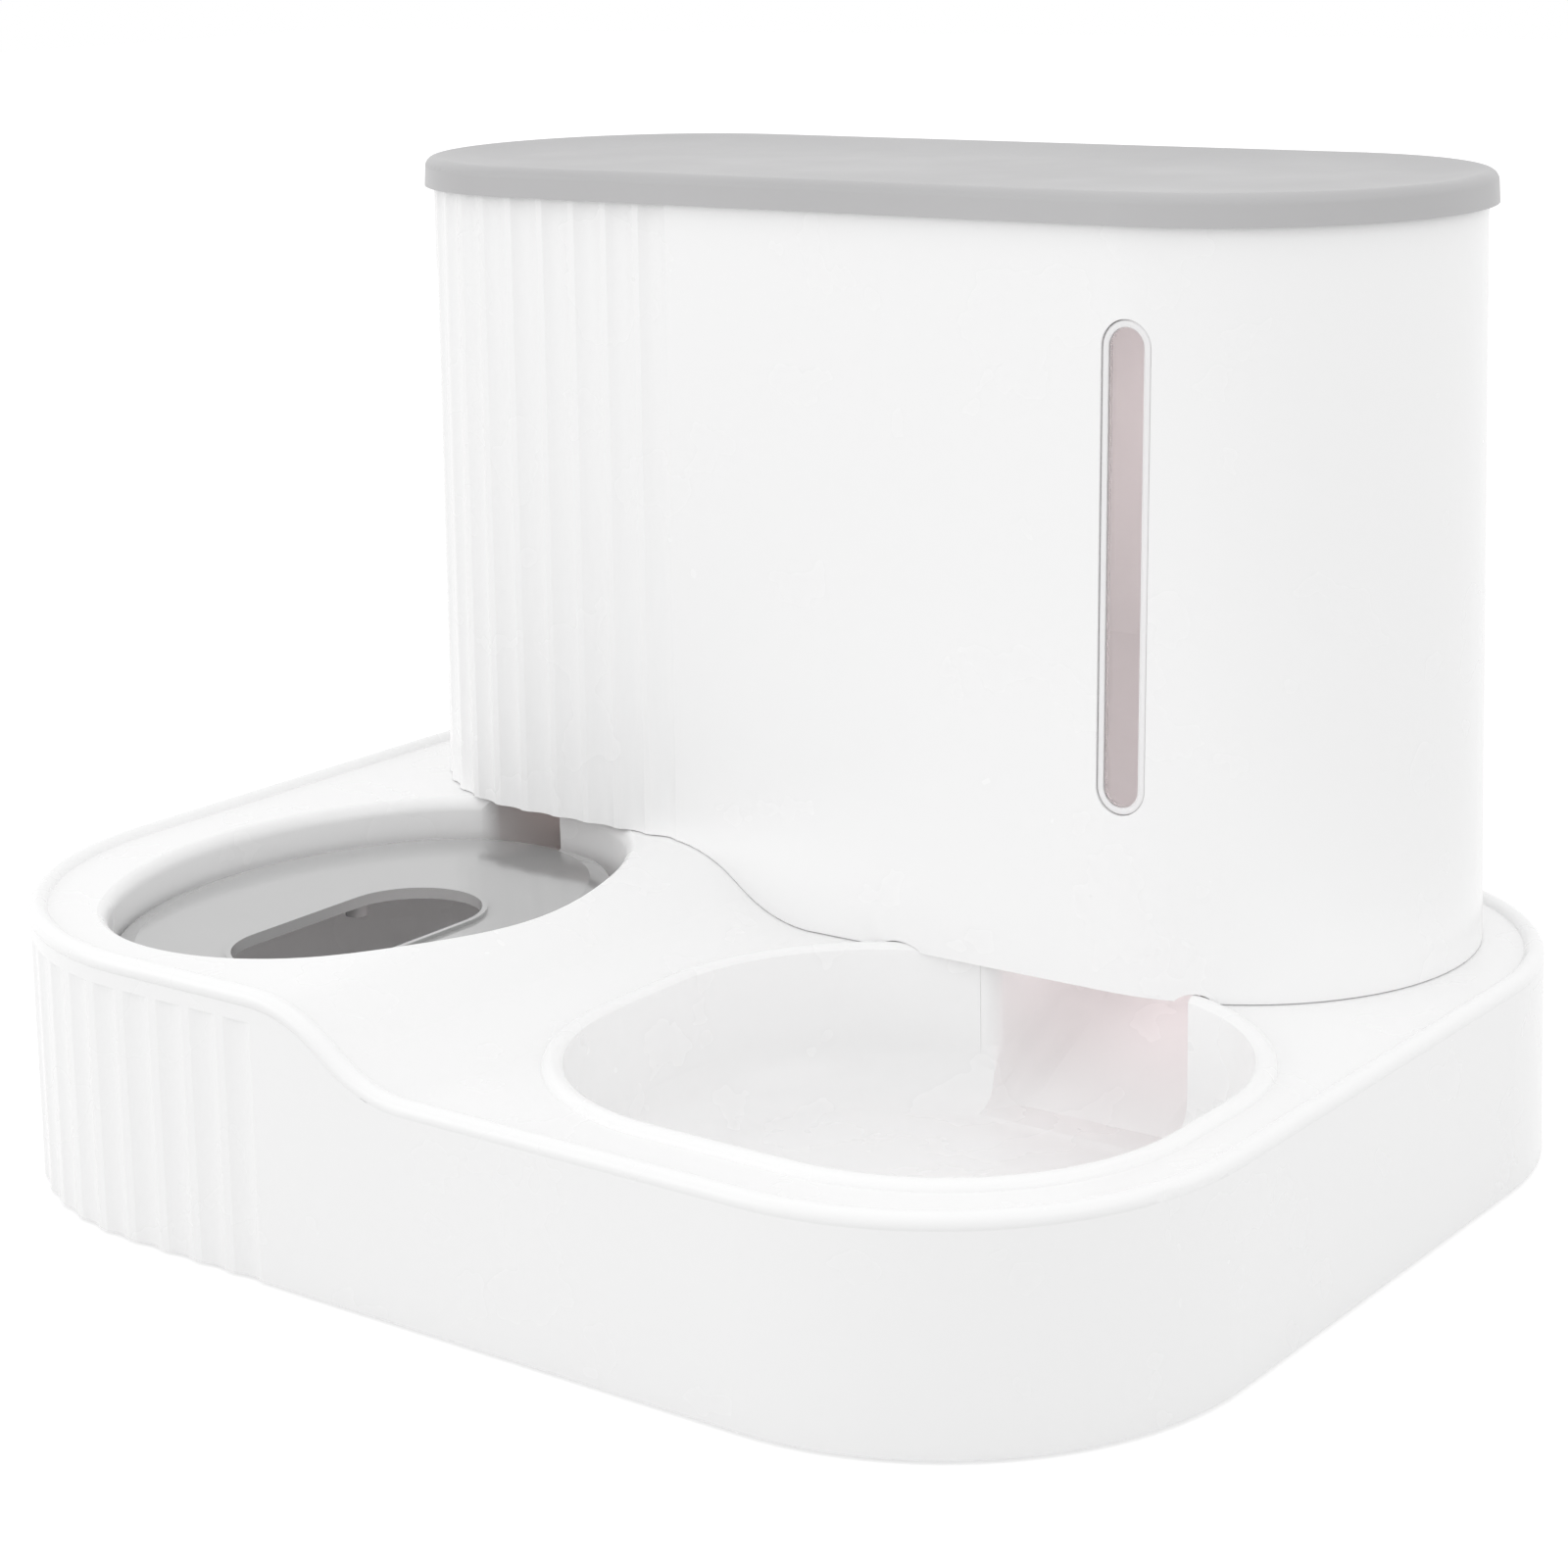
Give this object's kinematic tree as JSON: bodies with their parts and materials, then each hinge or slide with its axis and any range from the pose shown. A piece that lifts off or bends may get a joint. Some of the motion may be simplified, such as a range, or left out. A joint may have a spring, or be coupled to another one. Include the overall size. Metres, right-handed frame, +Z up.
{
  "type": "pet food and water dispenser",
  "caption": "White gravity dispenser for pets: a stepped tray with a food bowl and a water bowl under a fluted tower with level windows and a grey lid.",
  "frame": {"origin": "on the floor, under the middle of the tray", "axes": "+Z up, +X towards the food side, -Y is the front where the pet eats"},
  "size_m": [0.4, 0.333, 0.2822],
  "materials": {
    "white_plastic": "satin",
    "grey_plastic": "fine texture",
    "float_plastic": "gloss",
    "clear_plastic": "clear",
    "bottle_plastic": "clear",
    "rubber_dark": "matte",
    "silicone": "matte",
    "spring_steel": "drawn wire"
  },
  "bodies": {
    "dispenser": {"tray": "white_plastic", "foot_front_left": "rubber_dark", "foot_front_right": "rubber_dark", "foot_back_left": "rubber_dark", "foot_back_right": "rubber_dark", "tower_shell": "white_plastic", "food_window": "clear_plastic", "water_window": "clear_plastic", "lid": "grey_plastic", "lid_seal": "silicone", "water_tank": "bottle_plastic", "tank_cap": "white_plastic", "cap_gasket": "silicone", "valve_pin": "white_plastic", "valve_spring": "spring_steel", "valve_seal": "rubber_dark"},
    "float": {"float_plate": "float_plastic"}
  },
  "joints": [
    {"name": "float_rise", "type": "slide", "parent": "dispenser", "child": "float", "axis": [0, 0, 1], "range_m": [-0.018, 0.005]}
  ]
}
